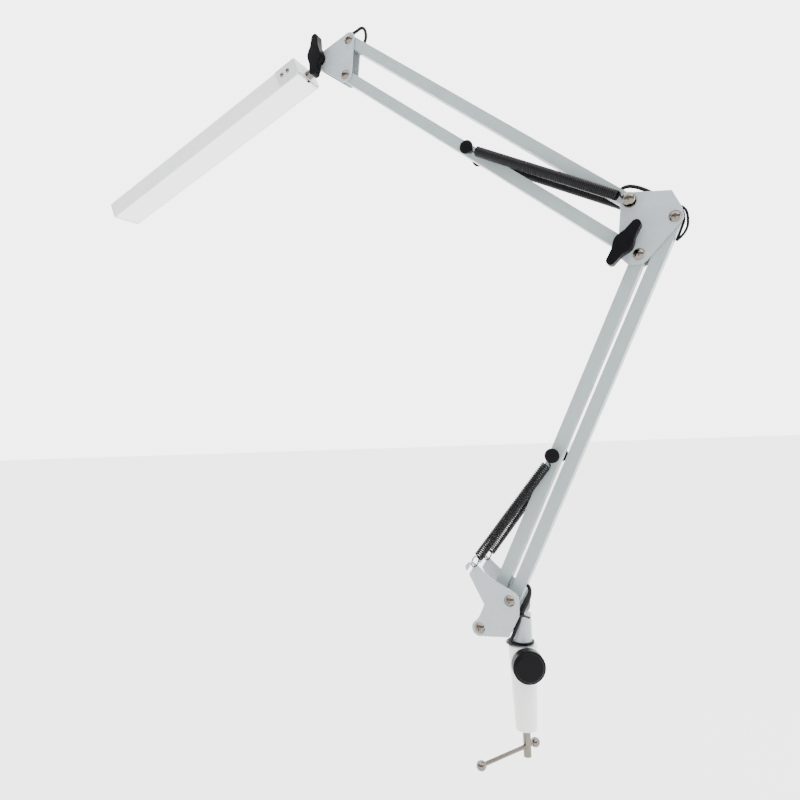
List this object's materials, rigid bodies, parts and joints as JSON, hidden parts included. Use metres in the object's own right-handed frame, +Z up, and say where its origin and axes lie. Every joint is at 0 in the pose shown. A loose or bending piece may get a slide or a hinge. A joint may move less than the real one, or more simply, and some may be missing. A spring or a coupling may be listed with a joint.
{
  "type": "swing arm bench lamp",
  "caption": "Spring-balanced swing-arm lamp: two jointed parallelogram arms carry a flat LED bar head above a screw clamp for a bench edge.",
  "frame": {"origin": "centre of the upper jaw's pad face, where it rests on the bench top, on the clamp screw's axis", "axes": "+Z up, along the clamp screw; +Y into the bench, away from the user's side where the lock knob is; +X to the right"},
  "size_m": [0.7114, 0.3082, 0.8077],
  "materials": {
    "clamp_paint": "satin powder coat",
    "arm_paint": "satin enamel",
    "bracket_paint": "satin enamel",
    "light_paint": "painted satin",
    "nickel": "bright nickel",
    "zinc": "zinc plated",
    "spring_black": "black oxide",
    "knob_black": "gloss",
    "tip_nylon": "matt",
    "pad_rubber": "matt",
    "cable_black": "satin",
    "tie_black": "satin",
    "plug_black": "satin",
    "plug_metal": "bright",
    "diffuser": "frosted",
    "led_board": "satin"
  },
  "bodies": {
    "clamp": {"clamp_frame": "clamp_paint", "upper_pad": "pad_rubber", "cord_tube": "cable_black", "cord_hank": "cable_black", "hank_tie": "tie_black", "plug_body": "plug_black", "plug_shell": "plug_metal"},
    "pad": {"pressure_pad": "nickel"},
    "clamp_screw": {"clamp_screw": "nickel"},
    "tommy_bar": {"tommy_bar": "nickel"},
    "lock_tip": {"lock_tip": "tip_nylon"},
    "lock_knob": {"lock_screw": "nickel", "lock_knob": "knob_black"},
    "swivel": {"stem": "bracket_paint", "stem_collar": "knob_black", "base_cheek_front": "bracket_paint", "base_cheek_rear": "bracket_paint", "base_spacers": "zinc", "base_screws": "nickel", "base_nuts": "nickel", "base_cable": "cable_black", "cable_tie": "tie_black", "stem_cable": "cable_black"},
    "lower_bar_a": {"lower_bar_a": "arm_paint", "lower_cable": "cable_black"},
    "lower_bar_b": {"lower_bar_b": "arm_paint", "lower_spring_pin": "nickel", "lower_spring_caps": "knob_black", "lower_spring_front": "spring_black", "lower_spring_rear": "spring_black"},
    "elbow": {"elbow_plate_front": "bracket_paint", "elbow_plate_rear": "bracket_paint", "elbow_screws": "nickel", "elbow_nuts": "nickel", "elbow_spring_pin": "nickel", "elbow_cable_top": "cable_black", "elbow_cable_side": "cable_black"},
    "elbow_wing_nut": {"elbow_wing_nut": "knob_black"},
    "upper_bar_a": {"upper_bar_a": "arm_paint", "upper_cable": "cable_black"},
    "upper_bar_b": {"upper_bar_b": "arm_paint", "upper_spring_pin": "nickel", "upper_spring_caps": "knob_black", "upper_spring_front": "spring_black", "upper_spring_rear": "spring_black"},
    "head_bracket": {"head_cheek_front": "bracket_paint", "head_cheek_rear": "bracket_paint", "head_screws": "nickel", "head_nuts": "nickel", "head_cable": "cable_black", "head_lead": "cable_black"},
    "head_wing_nut": {"head_wing_nut": "knob_black"},
    "knuckle": {"knuckle": "nickel", "knuckle_nut": "nickel"},
    "light": {"light_bracket": "light_paint", "bracket_screws": "nickel", "light_channel": "light_paint", "light_end_caps": "light_paint", "light_diffuser": "diffuser", "led_board": "led_board"}
  },
  "joints": [
    {"name": "pad_slide", "type": "slide", "parent": "clamp", "child": "pad", "axis": [0, 0, 1], "range_m": [-0.027, 0.012]},
    {"name": "screw_turn", "type": "hinge", "parent": "pad", "child": "clamp_screw", "pos_m": [0, 0, -0.06], "axis": [0, 0, 1], "range_deg": [-7900, 3600]},
    {"name": "tommy_slide", "type": "slide", "parent": "clamp_screw", "child": "tommy_bar", "axis": [0.7071, 0.7071, 0], "range_m": [-0.0024, 0.053]},
    {"name": "lock_slide", "type": "slide", "parent": "clamp", "child": "lock_tip", "axis": [-0.1908, 0.9816, 0], "range_m": [-0.003, 0.0002]},
    {"name": "lock_turn", "type": "hinge", "parent": "lock_tip", "child": "lock_knob", "pos_m": [0.00267, -0.04974, 0.005], "axis": [-0.1908, 0.9816, 0], "range_deg": [-1100, 80]},
    {"name": "swivel", "type": "hinge", "parent": "clamp", "child": "swivel", "pos_m": [0, -0.036, 0.02], "axis": [0, 0, 1], "range_deg": [-150, 150], "deforming": ["stem_cable"]},
    {"name": "lower_arm_tilt", "type": "hinge", "parent": "swivel", "child": "lower_bar_a", "pos_m": [-0.00475, -0.03445, 0.0636], "axis": [0.309, 0.9511, 0], "range_deg": [-95, 4], "deforming": ["base_cable"]},
    {"name": "lower_link_tilt", "type": "hinge", "parent": "swivel", "child": "lower_bar_b", "pos_m": [-0.035, -0.02463, 0.0348], "axis": [0.309, 0.9511, 0], "range_deg": [-95, 4], "deforming": ["lower_spring_front", "lower_spring_rear"]},
    {"name": "elbow_level", "type": "hinge", "parent": "lower_bar_a", "child": "elbow", "pos_m": [0.1523, -0.08549, 0.41138], "axis": [0.309, 0.9511, 0], "range_deg": [-4, 95], "deforming": ["elbow_cable_side"]},
    {"name": "elbow_nut_turn", "type": "hinge", "parent": "elbow", "child": "elbow_wing_nut", "pos_m": [0.10832, -0.08171, 0.39208], "axis": [0.309, 0.9511, 0], "range_deg": [-180, 45]},
    {"name": "upper_arm_tilt", "type": "hinge", "parent": "elbow", "child": "upper_bar_a", "pos_m": [0.11692, -0.07399, 0.43278], "axis": [0.309, 0.9511, 0], "range_deg": [-65, 35], "deforming": ["elbow_cable_top"]},
    {"name": "upper_link_tilt", "type": "hinge", "parent": "elbow", "child": "upper_bar_b", "pos_m": [0.11141, -0.0722, 0.39208], "axis": [0.309, 0.9511, 0], "range_deg": [-65, 35], "deforming": ["upper_spring_front", "upper_spring_rear"]},
    {"name": "head_level", "type": "hinge", "parent": "upper_bar_a", "child": "head_bracket", "pos_m": [-0.1647, 0.01751, 0.68659], "axis": [0.309, 0.9511, 0], "range_deg": [-35, 65], "deforming": ["head_cable"]},
    {"name": "head_nut_turn", "type": "hinge", "parent": "head_bracket", "child": "head_wing_nut", "pos_m": [-0.20583, 0.02036, 0.67419], "axis": [0.309, 0.9511, 0], "range_deg": [-180, 45]},
    {"name": "light_tilt", "type": "hinge", "parent": "head_bracket", "child": "knuckle", "pos_m": [-0.20274, 0.02987, 0.67419], "axis": [0.309, 0.9511, 0], "range_deg": [-60, 60]},
    {"name": "light_roll", "type": "hinge", "parent": "knuckle", "child": "light", "pos_m": [-0.20274, 0.02987, 0.67419], "axis": [0.9019, -0.293, 0.3173], "range_deg": [-90, 90]}
  ],
  "couplings": [
    {"joint": "screw_turn", "follows": "pad_slide", "rad_per_m": 5026.6},
    {"joint": "lock_turn", "follows": "lock_slide", "rad_per_m": 6283.2},
    {"joint": "lower_link_tilt", "follows": "lower_arm_tilt", "ratio": 1},
    {"joint": "elbow_level", "follows": "lower_arm_tilt", "ratio": -1},
    {"joint": "upper_link_tilt", "follows": "upper_arm_tilt", "ratio": 1},
    {"joint": "head_level", "follows": "upper_arm_tilt", "ratio": -1}
  ]
}
